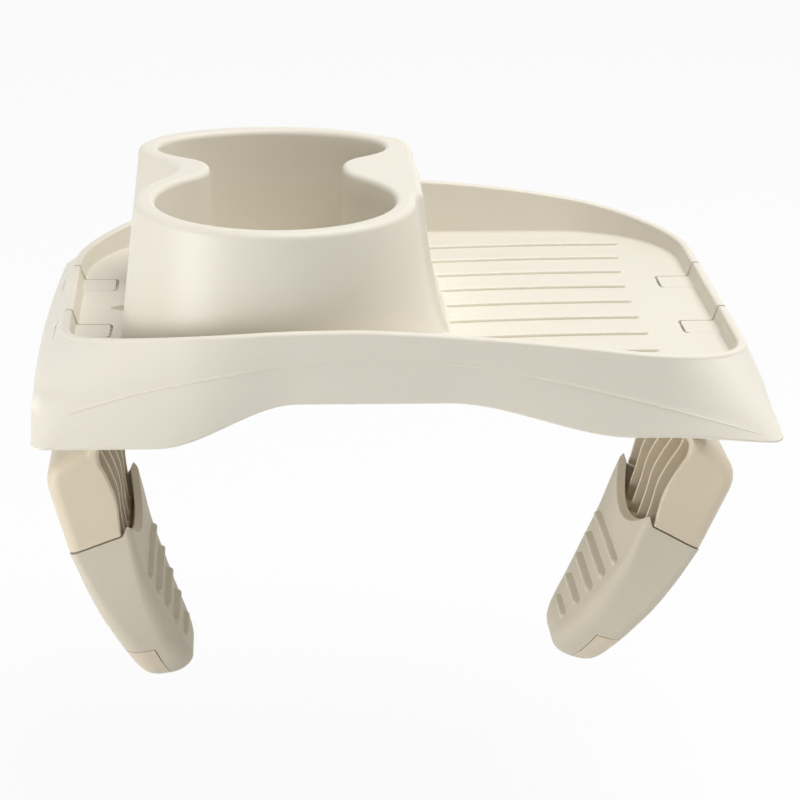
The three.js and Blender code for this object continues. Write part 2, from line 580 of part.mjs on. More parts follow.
function arm() {
  const wall = [...SHOULDER, COLLAR.outer, COLLAR.inner, ...S_EDGE];
  let part = along(wall, -LEG_HALF_Y, LEG_HALF_Y, 1, 4);
  const [a, b, c, d] = TONGUE;
  const tongue = along([
    [a[0] + CLEAR, a[1] - CLEAR], [b[0], b[1] - CLEAR], [c[0], c[1] + CLEAR], [d[0] + CLEAR, d[1] + CLEAR],
  ], -LEG_HALF_Y, LEG_HALF_Y).intersect(legLoft(0));
  part = part.add(legLoft(BOOT_T + CLEAR, 1, 2, 3)).add(tongue);
  const pitch = (2 * LEG_HALF_Y - 2 * ARM_SKIN - RIB_COUNT * RIB_T) / (RIB_COUNT + 1);
  for (let i = 0; i <= RIB_COUNT; i++) {
    const y0 = -LEG_HALF_Y + ARM_SKIN + i * (pitch + RIB_T);
    part = part.subtract(along(POCKET, y0, y0 + pitch, 0, 2));
  }
  for (const [y0, y1] of knuckles) {
    part = part.add(barrel(BARREL_R, y0, y1));
    for (const outline of [KNUCKLE_NECK, INWARD_STOP]) part = part.add(along(outline, y0, y1));
  }
  const room = BARREL_R + CLEAR + 0.2, past = 2 * LEG_HALF_Y;
  return part.subtract(barrel(room, -past, lugs[0][1] + CLEAR))
    .subtract(barrel(room, lugs[1][0] - CLEAR, lugs[1][1] + CLEAR))
    .subtract(barrel(room, lugs[2][0] - CLEAR, past))
    .subtract(barrel(PIN_R + RUN_CLEAR, -past, past));
}

// Assembly, moved so that the origin lies on the underside of the deck
const group = new THREE.Group();
group.name = "spa_cup_holder";
const lift = new THREE.Matrix4().makeTranslation(0, 0, DECK_T);
const parts = { hanger: hanger(), pin: hingePin(), arm: arm(), boot: boot() };

group.add(node("tray", trayBody(), cream, false, lift));
for (const side of ["left", "right"]) {
  const mirror = side === "left";
  const atHinge = new THREE.Matrix4().makeTranslation(mirror ? -HINGE_X : HINGE_X, 0, HINGE_Z + DECK_T);
  const turned = atHinge.clone().multiply(
    new THREE.Matrix4().makeRotationY(THREE.MathUtils.degToRad(REST_TURN)));
  group.add(node(`${side}_hanger`, parts.hanger, cream, mirror, lift));
  group.add(node(`${side}_hinge_pin`, parts.pin, steel, mirror, atHinge));
  group.add(node(`${side}_arm`, parts.arm, tan, mirror, turned));
  group.add(node(`${side}_boot`, parts.boot, greyTan, mirror, turned));
}

export default group;
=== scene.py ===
import math

import bmesh
import bpy
from mathutils import Matrix, Vector


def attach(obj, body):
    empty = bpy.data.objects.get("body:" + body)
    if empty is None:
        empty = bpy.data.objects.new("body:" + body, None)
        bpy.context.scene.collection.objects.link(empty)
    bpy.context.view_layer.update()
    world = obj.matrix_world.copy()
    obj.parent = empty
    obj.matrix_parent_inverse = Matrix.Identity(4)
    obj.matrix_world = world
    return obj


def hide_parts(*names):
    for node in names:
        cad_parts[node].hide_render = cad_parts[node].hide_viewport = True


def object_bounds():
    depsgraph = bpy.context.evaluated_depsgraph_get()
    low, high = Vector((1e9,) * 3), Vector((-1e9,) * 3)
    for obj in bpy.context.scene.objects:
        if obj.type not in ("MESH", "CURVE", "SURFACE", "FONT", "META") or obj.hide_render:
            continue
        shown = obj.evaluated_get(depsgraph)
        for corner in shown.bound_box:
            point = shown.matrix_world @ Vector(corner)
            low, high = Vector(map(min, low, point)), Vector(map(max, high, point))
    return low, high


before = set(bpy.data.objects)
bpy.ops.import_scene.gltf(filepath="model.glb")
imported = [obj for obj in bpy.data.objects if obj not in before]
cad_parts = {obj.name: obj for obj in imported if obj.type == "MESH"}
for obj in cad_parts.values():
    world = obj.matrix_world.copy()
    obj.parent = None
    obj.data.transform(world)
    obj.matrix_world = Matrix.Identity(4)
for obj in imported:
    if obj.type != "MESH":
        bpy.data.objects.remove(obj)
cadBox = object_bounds()
print("frame loaded with", len(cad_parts), "CAD nodes")

# Pieces are drawn in millimetres, with the top of the deck at z = 0, and moved into the frame at the end
metres = 0.001
clearance = 0.3    # between separate mouldings
runClearance = 0.08    # hinge pin in its bores


def clamp(v, low, high):
    return max(low, min(high, v))


def smooth(t):
    t = clamp(t, 0, 1)
    return t * t * (3 - 2 * t)


def lerp(a, b, t):
    return a + (b - a) * t


def quarter(steps, first=0, last=90):
    return [math.radians(lerp(first, last, k / steps)) for k in range(steps + 1)]


# One ring of edges is extruded from station to station, and both ends are closed
def loft(rings):
    bm = bmesh.new()
    station = bm.verts.layers.int.new("station")
    bmesh.ops.create_circle(bm, segments=len(rings[0]), radius=1)
    for i, vert in enumerate(bm.verts):
        vert[station] = i
        vert.co = rings[0][i]
    loop = bm.edges[:]
    bmesh.ops.edgeloop_fill(bm, edges=loop)
    for ring in rings[1:]:
        made = bmesh.ops.extrude_edge_only(bm, edges=loop)["geom"]
        loop = [g for g in made if isinstance(g, bmesh.types.BMEdge)]
        for g in made:
            if isinstance(g, bmesh.types.BMVert):
                g.co = ring[g[station]]
    bmesh.ops.edgeloop_fill(bm, edges=loop)
    bmesh.ops.recalc_face_normals(bm, faces=bm.faces[:])
    return bm


# Corners are (x, z) or (x, z, radius); a radius turns the corner into a curve
def rounded(corners, steps=8):
    points = []
    for i, corner in enumerate(corners):
        here = Vector(corner[:2])
        radius = corner[2] if len(corner) > 2 else 0
        if not radius:
            points.append(here)
            continue
        ends = []
        for other in (corners[i - 1], corners[(i + 1) % len(corners)]):
            away = Vector(other[:2]) - here
            ends.append(here + away.normalized() * min(radius, away.length * 0.49))
        for k in range(steps + 1):
            t = k / steps
            points.append(ends[0] * (1 - t) ** 2 + here * 2 * t * (1 - t) + ends[1] * t ** 2)
    return points


def inwardNormals(points):
    area = sum(p.cross(points[(i + 1) % len(points)]) for i, p in enumerate(points))
    turn = 1 if area > 0 else -1
    normals = []
    for i, p in enumerate(points):
        before = (p - points[i - 1]).normalized()
        after = (points[(i + 1) % len(points)] - p).normalized()
        a = Vector((-before.y, before.x)) * turn
        b = Vector((-after.y, after.x)) * turn
        normals.append((a + b) / max(0.3, 1 + a.dot(b)))
    return normals


# An outline in X and Z carried along Y, its two end edges rounded over by edge, which may change along it
def prism(corners, y0, y1, edge=0.0, steps=5, curve=8):
    points = rounded(corners, curve)
    if not edge:
        return loft([[(p.x, y, p.y) for p in points] for y in (y0, y1)])
    normals = inwardNormals(points)
    radii = [edge(p.x, p.y) if callable(edge) else edge for p in points]

    def ring(a, y, away):
        inset, back = 1 - math.sin(a), 1 - math.cos(a)
        return [(p.x + n.x * r * inset, y + away * r * back, p.y + n.y * r * inset)
                for p, n, r in zip(points, normals, radii)]

    turns = quarter(steps)
    return loft([ring(a, y0, 1) for a in turns] + [ring(a, y1, -1) for a in reversed(turns)])


def upright(corners, z0, z1, edge=0.0):
    bm = prism(corners, -z1, -z0, edge)
    bmesh.ops.rotate(bm, verts=bm.verts[:], matrix=Matrix.Rotation(-math.pi / 2, 3, "X"))
    return bm


def rod(radius, y0, y1, x=0.0, z=0.0, segments=48):
    bm = bmesh.new()
    bmesh.ops.create_cone(bm, cap_ends=True, segments=segments, radius1=radius, radius2=radius, depth=y1 - y0)
    bmesh.ops.rotate(bm, verts=bm.verts[:], matrix=Matrix.Rotation(math.pi / 2, 3, "X"))
    bmesh.ops.translate(bm, verts=bm.verts[:], vec=(x, (y0 + y1) / 2, z))
    return bm


def standIn(bm):
    mesh = bpy.data.meshes.new("work")
    bm.to_mesh(mesh)
    bm.free()
    obj = bpy.data.objects.new("work", mesh)
    bpy.context.scene.collection.objects.link(obj)
    return obj


# Joins, cuts and overlaps in the order given, as ("UNION", mesh), ("DIFFERENCE", mesh) or ("INTERSECT", mesh)
def combine(body, steps):
    work = standIn(body)
    tools = []
    for operation, tool in steps:
        tools.append(standIn(tool))
        cut = work.modifiers.new("cut", "BOOLEAN")
        cut.operation = operation
        cut.solver = "MANIFOLD"
        cut.object = tools[-1]
    bpy.context.view_layer.update()
    mesh = bpy.data.meshes.new_from_object(work.evaluated_get(bpy.context.evaluated_depsgraph_get()))
    result = bmesh.new()
    result.from_mesh(mesh)
    for obj in [work] + tools:
        data = obj.data
        bpy.data.objects.remove(obj)
        bpy.data.meshes.remove(data)
    bpy.data.meshes.remove(mesh)
    return result


def finishPiece(name, bm, place, mirrored, material, body, node, softEdge=0.0, sharpAngle=38):
    bm = bm.copy()
    if mirrored:
        bmesh.ops.scale(bm, vec=(-1, 1, 1), verts=bm.verts[:])
    bmesh.ops.transform(bm, matrix=Matrix.Scale(metres, 4) @ place, verts=bm.verts[:])
    bmesh.ops.remove_doubles(bm, verts=bm.verts[:], dist=1e-6)
    bmesh.ops.recalc_face_normals(bm, faces=bm.faces[:])
    for face in bm.faces:
        face.smooth = True
    for edge in bm.edges:
        edge.smooth = len(edge.link_faces) == 2 and edge.calc_face_angle() < math.radians(sharpAngle)
    mesh = bpy.data.meshes.new(name)
    bm.to_mesh(mesh)
    bm.free()
    mesh.materials.append(material)
    piece = bpy.data.objects.new(name, mesh)
    bpy.context.scene.collection.objects.link(piece)
    if softEdge:
        bevel = piece.modifiers.new("softEdge", "BEVEL")
        bevel.width = softEdge * metres
        bevel.segments = 3
        bevel.limit_method = "ANGLE"
        bevel.angle_limit = math.radians(sharpAngle)
        bevel.miter_outer = "MITER_ARC"
        bevel.harden_normals = False
    evenShade = piece.modifiers.new("evenShade", "WEIGHTED_NORMAL")
    evenShade.keep_sharp = not softEdge
    evenShade.weight = 60
    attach(piece, body)
    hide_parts(node)
    print("piece", name, "with", len(mesh.polygons), "faces")


# Moulded plastic: a fine even grain, a slow drift of tone and a satin shine that changes a little
def mouldedPlastic(name, finish):
    mat = bpy.data.materials.new(name)
    mat.use_nodes = True
    nodes, links = mat.node_tree.nodes, mat.node_tree.links
    shader = nodes["Principled BSDF"]
    place = nodes.new("ShaderNodeTexCoord")

    def noise(scale, detail):
        tex = nodes.new("ShaderNodeTexNoise")
        tex.inputs["Scale"].default_value = scale
        tex.inputs["Detail"].default_value = detail
        links.new(place.outputs["Object"], tex.inputs["Vector"])
        return tex.outputs["Fac"]

    tone = nodes.new("ShaderNodeValToRGB")
    tone.color_ramp.elements[0].position = 0.3
    tone.color_ramp.elements[1].position = 0.7
    for element, share in zip(tone.color_ramp.elements, (1 - finish["drift"], 1 + finish["drift"])):
        element.color = [min(1, c * share) for c in finish["colour"]] + [1]
    links.new(noise(finish["driftScale"], 3), tone.inputs["Fac"])

    speck = nodes.new("ShaderNodeMix")
    speck.data_type = "RGBA"
    speck.blend_type = "MULTIPLY"
    speck.inputs["Factor"].default_value = finish["speck"]
    links.new(tone.outputs["Color"], speck.inputs["A"])
    links.new(noise(finish["grainScale"] * 0.6, 2), speck.inputs["B"])
    links.new(speck.outputs["Result"], shader.inputs["Base Color"])

    shine = nodes.new("ShaderNodeMapRange")
    shine.inputs["To Min"].default_value = finish["rough"] - finish["roughSpread"]
    shine.inputs["To Max"].default_value = finish["rough"] + finish["roughSpread"]
    links.new(noise(finish["shineScale"], 4), shine.inputs["Value"])
    links.new(shine.outputs["Result"], shader.inputs["Roughness"])

    grain = nodes.new("ShaderNodeBump")
    grain.inputs["Strength"].default_value = finish["grain"]
    grain.inputs["Distance"].default_value = finish["grainDepth"]
    links.new(noise(finish["grainScale"], 2), grain.inputs["Height"])
    links.new(grain.outputs["Normal"], shader.inputs["Normal"])

    shader.inputs["IOR"].default_value = 1.49
    shader.inputs["Subsurface Weight"].default_value = finish["glow"]
    shader.inputs["Subsurface Radius"].default_value = (0.0016, 0.0012, 0.0008)
    shader.inputs["Subsurface Scale"].default_value = 1
    return mat


def brushedSteel(name, finish):
    mat = bpy.data.materials.new(name)
    mat.use_nodes = True
    nodes, links = mat.node_tree.nodes, mat.node_tree.links
    shader = nodes["Principled BSDF"]
    place = nodes.new("ShaderNodeTexCoord")
    along = nodes.new("ShaderNodeMapping")
    along.inputs["Scale"].default_value = finish["brush"]
    links.new(place.outputs["Object"], along.inputs["Vector"])
    brush = nodes.new("ShaderNodeTexNoise")
    brush.inputs["Scale"].default_value = 1
    brush.inputs["Detail"].default_value = 4
    links.new(along.outputs["Vector"], brush.inputs["Vector"])
    shine = nodes.new("ShaderNodeMapRange")
    shine.inputs["To Min"].default_value, shine.inputs["To Max"].default_value = finish["rough"]
    links.new(brush.outputs["Fac"], shine.inputs["Value"])
    links.new(shine.outputs["Result"], shader.inputs["Roughness"])
    scratch = nodes.new("ShaderNodeBump")
    scratch.inputs["Strength"].default_value = finish["scratch"]
    scratch.inputs["Distance"].default_value = finish["scratchDepth"]
    links.new(brush.outputs["Fac"], scratch.inputs["Height"])
    links.new(scratch.outputs["Normal"], shader.inputs["Normal"])
    shader.inputs["Base Color"].default_value = finish["colour"] + (1,)
    shader.inputs["Metallic"].default_value = 1
    return mat


creamPlastic = mouldedPlastic("creamPlastic", {
    "colour": (0.80, 0.753, 0.648), "drift": 0.012, "driftScale": 14, "speck": 0.03, "rough": 0.42,
    "roughSpread": 0.06, "shineScale": 60, "grain": 0.16, "grainDepth": 0.00006, "grainScale": 2600,
    "glow": 0.06,
})
tanPlastic = mouldedPlastic("tanPlastic", {
    "colour": (0.735, 0.64, 0.49), "drift": 0.015, "driftScale": 18, "speck": 0.04, "rough": 0.46,
    "roughSpread": 0.06, "shineScale": 70, "grain": 0.18, "grainDepth": 0.00006, "grainScale": 2400,
    "glow": 0.05,
})
gripRubber = mouldedPlastic("gripRubber", {
    "colour": (0.68, 0.62, 0.50), "drift": 0.025, "driftScale": 22, "speck": 0.07, "rough": 0.58,
    "roughSpread": 0.08, "shineScale": 90, "grain": 0.3, "grainDepth": 0.00008, "grainScale": 1900,
    "glow": 0.03,
})
pinSteel = brushedSteel("pinSteel", {
    "colour": (0.62, 0.62, 0.61), "rough": (0.24, 0.42), "brush": (5200, 160, 5200), "scratch": 0.15,
    "scratchDepth": 0.00005,
})
print("materials made")


# Tray: one skin from under the well floor, over the skirt and wall, across the deck and down into the well
tray = {
    "halfX": 113, "halfY": 99.5, "leftCorner": 60, "rightCorner": 42, "deckT": 2.2, "footR": 0.9,
    "rimSide": 5.6, "frontRise": 17.1, "rearRise": 15.3, "frontPeakX": -17, "rimT": 3.4, "rimR": 1.2,
    "leftSwell": (2.5, 0.6), "rightSwell": (1.25, 0.64), "rearSwell": (1.85, 1.05), "cornerFall": 0.25,
    "wallLean": 1.3, "leanGain": 0.05,
}
skirt = {
    "thick": 2.6, "depth": 14.9, "outLeft": 14.8, "outRight": 13.5, "outEnds": 11.5, "corner": 5, "bow": 4,
    "hemR": 0.9, "archX": -8.5, "archLeft": (29, 75), "archRight": (20, 82), "archTail": 0.16,
    "archDrop": 0.3, "creaseSide": 0.8, "creaseEnd": 0.58, "creaseDown": 0.7, "creaseArchDown": 0.42,
    "creaseX": -9, "creaseTop": 12.9, "creaseLeft": (0.00168, 2), "creaseRight": (0.0106, 1.62),
    "creaseAboveHem": 1.5, "creaseBlend": (2, 0.4),
    "bead": 0.3, "beadFoot": (0.4, 0.6), "beadEnd": 118, "beadFade": 8,
    "ridgeFrom": (117.1, 20, 5.6), "ridgeTo": (123.5, 97, 0.9), "ridgeFront": (73, 105.7), "ridgeStart": 34,
    "ridgeFade": 20, "cornerGain": 4, "frontFade": (0.97, 0.2),
}
cup = {
    "height": 51.3, "inset": 69.5, "frontY": -41.2, "frontR": 41, "rearY": 34.2, "rearRx": 41.5,
    "rearRy": 24.9, "neckOff": 1.2, "neckY": 3, "neckHalf": 23.6, "wall": 7, "grooveOff": -34.5,
    "landOff": 51.6, "landY": 43, "landBow": (0.0016, 0.0019), "melt": 8, "draft": 5.6, "flare": 4.8,
    "flareReach": (75, 60), "flareHold": 1.4, "skin": 2.4, "lip": 2.2, "wellLip": 2.3, "wellDraft": 1.2,
    "wellFoot": 2.6, "footR": 1.6, "webHalf": 4, "webFoot": 0.3, "webTop": 0.6, "support": 0.2,
}
cup["x"] = cup["inset"] - tray["halfX"]
cup["neckX"] = cup["x"] + cup["neckOff"]
hemRight = tray["halfX"] + skirt["outRight"]
hemLeft = tray["halfX"] + skirt["outLeft"]
hemY = tray["halfY"] + skirt["outEnds"]


# The deck's outline as (x, y, normal x, normal y), its points closest together in the middle of each corner
def deckPlan():
    points = []
    hx, hy, left, right = tray["halfX"], tray["halfY"], tray["leftCorner"], tray["rightCorner"]

    def side(x0, y0, x1, y1, nx, ny, count):
        points.extend((lerp(x0, x1, i / count), lerp(y0, y1, i / count), nx, ny) for i in range(count))

    def corner(cx, cy, radius, first, count):
        for i in range(count):
            s = 1 - 2 * i / count
            a = math.radians(first + 45 * (1 - s * abs(s)))
            points.append((cx + radius * math.cos(a), cy + radius * math.sin(a), math.cos(a), math.sin(a)))

    side(left - hx, -hy, hx - right, -hy, 0, -1, 56)
    corner(hx - right, right - hy, right, -90, 36)
    side(hx, right - hy, hx, hy - right, 1, 0, 30)
    corner(hx - right, hy - right, right, 0, 36)
    side(hx - right, hy, left - hx, hy, 0, 1, 56)
    corner(left - hx, hy - left, left, 90, 44)
    side(-hx, hy - left, -hx, left - hy, -1, 0, 24)
    corner(left - hx, left - hy, left, 180, 44)
    return points


def rimHeight(p):
    x, ny = p[0], p[3]
    front = ny < 0
    peak = tray["frontPeakX"] if front else 0
    reach = tray["halfX"] + (-peak if x > peak else peak)
    a, b = tray["rearSwell" if not front else "rightSwell" if x > peak else "leftSwell"]
    swell = (1 - clamp(abs(x - peak) / reach, 0, 1) ** a) ** b * abs(ny) ** tray["cornerFall"]
    return tray["rimSide"] + tray["frontRise" if front else "rearRise"] * swell


# How far the hem is drawn up into the arch
def archShare(x):
    right = x > skirt["archX"]
    flat, end = skirt["archRight" if right else "archLeft"]
    arch = smooth((end - abs(x - skirt["archX"])) / (end - flat))
    tail = skirt["archTail"] * smooth((hemRight - x) / (hemRight - end)) if right else 0
    return arch + (1 - arch) * tail


# The hem before it is drawn up: a rectangle with bowed sides, met along the wall's normal at p
def hemPoint(p, inset):
    midX, halfX, corner = (hemRight - hemLeft) / 2, (hemRight + hemLeft) / 2, skirt["corner"]

    def outside(x, y):
        straight = x / (1 - skirt["bow"] / hemLeft * (y / hemY) ** 2)
        dx, dy = abs(straight - midX) - halfX + corner, abs(y) - hemY + corner
        return math.hypot(max(dx, 0), max(dy, 0)) + min(max(dx, dy), 0) - corner

    low, high = 0, hemLeft
    for _ in range(40):
        reach = (low + high) / 2
        if outside(p[0] + p[2] * reach, p[1] + p[3] * reach) < -inset:
            low = reach
        else:
            high = reach
    return p[0] + p[2] * low, p[1] + p[3] * low


# Two lobes and the neck between them melted into one outline; grow moves the whole outline out
def lobeField(x, y, grow, left, right):
    def melt(a, b):
        h = clamp(0.5 + 0.5 * (b - a) / cup["melt"], 0, 1)
        return lerp(b, a, h) - cup["melt"] * h * (1 - h)

    circle = math.hypot(x - cup["x"], y - cup["frontY"]) - cup["frontR"] - grow
    rx, ry = cup["rearRx"] + grow, cup["rearRy"] + grow
    oval = (math.hypot((x - cup["x"]) / rx, (y - cup["rearY"]) / ry) - 1) * min(rx, ry)
    middle, half = (left + right) / 2, (right - left) / 2
    bow = cup["landBow"][0 if y < 0 else 1] * (y + cup["neckY"]) ** 2 if x > middle else 0
    bar = max(abs(x - middle) - half + bow, y - cup["landY"], -y - cup["rearY"])
    return melt(melt(circle, bar), oval)


def wellField(x, y, grow):
    half = cup["neckHalf"] + grow
    return lobeField(x, y, grow, cup["neckX"] - half, cup["neckX"] + half)


def cupField(x, y, grow):
    left, right = cup["x"] + cup["grooveOff"] - grow, cup["x"] + cup["landOff"] + grow
    return lobeField(x, y, cup["wall"] + grow, left, right)


# How far the cup's outside stands out at height z, with a flare at the foot of the land
def cupSkirt(x, y, z):
    t = clamp(1 - z / cup["height"], 0, 1)
    hold = smooth(cup["flareHold"] - abs(y) / cup["flareReach"][0 if y < 0 else 1])
    right = smooth((x - cup["x"]) / cup["landOff"]) * hold
    return cup["draft"] * t + cup["flare"] * right * t ** 3


deckLine = deckPlan()
archShares = [archShare(hemPoint(p, 0)[0]) for p in deckLine]
rays = [math.atan2(p[1] - cup["neckY"], p[0] - cup["neckX"]) for p in deckLine]


# The point on each ray from the neck where the field turns positive
def rayRing(field, z):
    ring = []
    for a in rays:
        dx, dy = math.cos(a), math.sin(a)
        low, high = 2, 2 * tray["halfY"]
        for _ in range(26):
            reach = (low + high) / 2
            if field(cup["neckX"] + dx * reach, cup["neckY"] + dy * reach) < 0:
                low = reach
            else:
                high = reach
        ring.append((cup["neckX"] + dx * low, cup["neckY"] + dy * low, z))
    return ring


def cupRing(z, out=0.0):
    return rayRing(lambda x, y: cupField(x, y, cupSkirt(x, y, z) + out), z)


def wellRing(z, out=0.0):
    return rayRing(lambda x, y: wellField(x, y, out), z)


def deckRing(offset, height):
    ring = []
    for p in deckLine:
        x, y, nx, ny = p
        ring.append((x + nx * offset(p), y + ny * offset(p), height(p)))
    return ring


def lean(p):
    return tray["wallLean"] + tray["leanGain"] * (rimHeight(p) - tray["rimSide"])


def hemRing(inset, up):
    ring = []
    drawn = tray["halfY"] + max(tray["rimT"] + skirt["hemR"] - inset, skirt["thick"])
    for p, share in zip(deckLine, archShares):
        x, y = hemPoint(p, inset)
        z = lerp(-skirt["depth"], -tray["deckT"] - skirt["archDrop"], share) + up
        ring.append((x, math.copysign(lerp(abs(y), drawn, share), y), z))
    return ring


# Half way down the skirt's upper part, drawn out at the front left corner to a ridge that runs along the side
def cornerRidge(p, high, low):
    half = tuple(lerp(u, v, 0.5) for u, v in zip(high, low))
    if p[0] > 0 or p[1] > 0:
        return half
    (x0, y0, z0), (x1, y1, z1), (fx, fy) = skirt["ridgeFrom"], skirt["ridgeTo"], skirt["ridgeFront"]
    x, y, nx, ny = (abs(c) for c in p)
    slope, sweep = (x1 - x0) / (y1 - y0), (fy - y1) / (x1 - fx)
    if nx > 0.5:
        reach = (x0 + slope * (y - y0) - x) / (nx - slope * ny)
        at = y + ny * reach
        if at <= y1:
            share = smooth((at - skirt["ridgeStart"]) / skirt["ridgeFade"])
            z = min(lerp(z0, z1, (at - y0) / (y1 - y0)), high[2] - clearance)
            return tuple(lerp(u, v, share) for u, v in zip(half, (-x - nx * reach, -at, z)))
    reach = (y1 + sweep * (x1 - x) - y) / (ny + sweep * nx)
    share = clamp((x1 - x - nx * reach) / (x1 - fx), 0, 1)
    point = (-x - nx * reach, -y - ny * reach, lerp(z1, half[2], share))
    return tuple(lerp(u, v, smooth(share)) for u, v in zip(point, half))


# The crease itself: across the front and rear it follows a flatter arch than the hem
def creasePoint(p, high, bend, low):
    away = bend[0] - skirt["creaseX"]
    gain, power = skirt["creaseRight" if away > 0 else "creaseLeft"]
    z = max(skirt["creaseTop"] - gain * abs(away) ** power, low[2] + skirt["creaseAboveHem"])
    rate, start = skirt["creaseBlend"]
    z = lerp(bend[2], z, smooth(rate * abs(p[3]) - start))
    if z > bend[2]:
        low = high
    share = (z - bend[2]) / (low[2] - bend[2])
    return tuple(lerp(u, v, share) for u, v in zip(bend, low))


# The crease, moved to the straight line from the ridge to the hem at the front left corner
def fuller(p, crease, ridge, edge):
    gain, (until, fade) = skirt["cornerGain"], skirt["frontFade"]
    corner = smooth(-gain * p[2]) * smooth(-gain * p[3]) * smooth((until + p[3]) / fade)
    share = clamp((ridge[2] - crease[2]) / (ridge[2] - edge[2]), 0, 1)
    return tuple(lerp(c, lerp(u, v, share), corner) for c, u, v in zip(crease, ridge, edge))


# A fine bead along the crease that runs out before the corners
def creaseBead(p, crease):
    out = skirt["bead"] * smooth((skirt["beadEnd"] - abs(crease[0])) / skirt["beadFade"])
    return crease[0] + p[2] * out, crease[1] + p[3] * out, crease[2]


def between(a, b, t):
    return [tuple(lerp(u, v, t) for u, v in zip(p, q)) for p, q in zip(a, b)]


# Each point of a moved by reach toward its partner in b, or by the share most where the two are close
def toward(a, b, reach, most=0.4):
    return [tuple(lerp(u, v, min(most, reach / math.dist(p, q))) for u, v in zip(p, q)) for p, q in zip(a, b)]


def ringsBetween(a, b, count):
    return [between(a, b, k / count) for k in range(1, count)]


def traySkin():
    deckT, height, lip = tray["deckT"], cup["height"], cup["lip"]
    rings = []
    # under the well floor, up its skin, over the roof of the core and down the cup's skin
    roof = height - lip
    rings += [wellRing(-deckT, cup["skin"] / 2), wellRing(0, cup["skin"] / 2)]
    rings += [wellRing(roof * k / 4, cup["skin"] * (0.5 + k / 8)) for k in range(1, 5)]
    rings += [cupRing(roof * k / 8, -cup["skin"]) for k in range(8, -1, -1)] + [cupRing(-deckT, -cup["skin"])]
    # underside of the deck and the inside of the skirt
    under = deckRing(lambda p: skirt["thick"], lambda p: -deckT)
    inside = hemRing(skirt["thick"], 0)
    rings += [under] + ringsBetween(under, inside, 6) + [inside]
    # hem, then the outside of the skirt with its faint crease, up to the rim
    hemR = skirt["hemR"]
    rings += [hemRing(hemR * (1 - math.sin(a)), hemR * (1 - math.cos(a))) for a in quarter(5)]
    rimR = tray["rimR"]
    edge = hemRing(0, hemR)
    rimEdge = deckRing(lambda p: lean(p) + tray["rimT"], lambda p: rimHeight(p) - rimR)
    crease = []
    for low, high, p, share in zip(edge, rimEdge, deckLine, archShares):
        down = lerp(skirt["creaseDown"], skirt["creaseArchDown"], share)
        out = lerp(skirt["creaseSide"], skirt["creaseEnd"], p[3] ** 2)
        crease.append((lerp(high[0], low[0], out), lerp(high[1], low[1], out), lerp(high[2], low[2], down)))
    ridge = [cornerRidge(*row) for row in zip(deckLine, rimEdge, crease)]
    crease = [creasePoint(*row) for row in zip(deckLine, rimEdge, crease, edge)]
    crease = [fuller(*row) for row in zip(deckLine, crease, ridge, edge)]
    bead = [creaseBead(*row) for row in zip(deckLine, crease)]
    below, above = skirt["beadFoot"]
    rings += ringsBetween(edge, crease, 5) + [toward(crease, edge, below), bead, toward(crease, ridge, above)]
    rings += ringsBetween(crease, ridge, 4) + [ridge]
    rings += ringsBetween(ridge, rimEdge, 5)
    # rounded rim, inside of the wall and its foot
    rings += [deckRing(lambda p: lean(p) + tray["rimT"] - rimR * (1 - math.cos(a)),
                       lambda p: rimHeight(p) - rimR * (1 - math.sin(a))) for a in quarter(6)]
    rings += [deckRing(lambda p: lean(p) + rimR * (1 - math.cos(a)),
                       lambda p: rimHeight(p) - rimR * (1 - math.sin(a))) for a in reversed(quarter(6))]
    footR = tray["footR"]
    foot = [deckRing(lambda p: footR * (math.cos(a) - 1), lambda p: footR * (1 - math.sin(a)))
            for a in quarter(7)]
    rings += ringsBetween(rings[-1], foot[0], 6) + foot
    rings.append(deckRing(lambda p: -footR - cup["support"], lambda p: 0))
    # deck, and the cup from its foot to its lip
    cupFoot = cup["footR"]
    rings.append(cupRing(0, cupFoot + cup["support"]))
    for a in quarter(5, 0, 84):
        z = cupFoot * (1 - math.cos(a))
        rings.append(cupRing(z, cupFoot * (1 - math.sin(a))))
    rings += [cupRing(lerp(cupFoot, roof, (k / 14) ** 1.4)) for k in range(1, 15)]
    rings += [cupRing(roof + lip * math.sin(a), lip * (math.cos(a) - 1)) for a in quarter(8)[1:]]
    rings.append(cupRing(height, -lip - cup["support"]))
    # into the well
    wellLip = cup["wellLip"]
    rings.append(wellRing(height, wellLip + cup["support"]))
    rings += [wellRing(height - wellLip * (1 - math.cos(a)), wellLip * (1 - math.sin(a))) for a in quarter(8)]
    wellFoot, draft = cup["wellFoot"], cup["wellDraft"]
    top = height - wellLip
    rings += [wellRing(lerp(top, wellFoot, k / 6), -draft * k / 6) for k in range(1, 6)]
    rings += [wellRing(wellFoot * (1 - math.sin(a)), -draft - wellFoot * (1 - math.cos(a)))
              for a in quarter(7)]
    return loft(rings)


dripRib = {
    "count": 8, "pitch": 19.5, "rear": 19, "right": 27.3, "under": 9.4, "half": 1.45, "height": 1.25,
    "sag": 4.5, "endY": -10, "endBow": 0.0007, "sunk": 1.2, "endShare": 0.06, "crown": (0.8, 0.6),
}


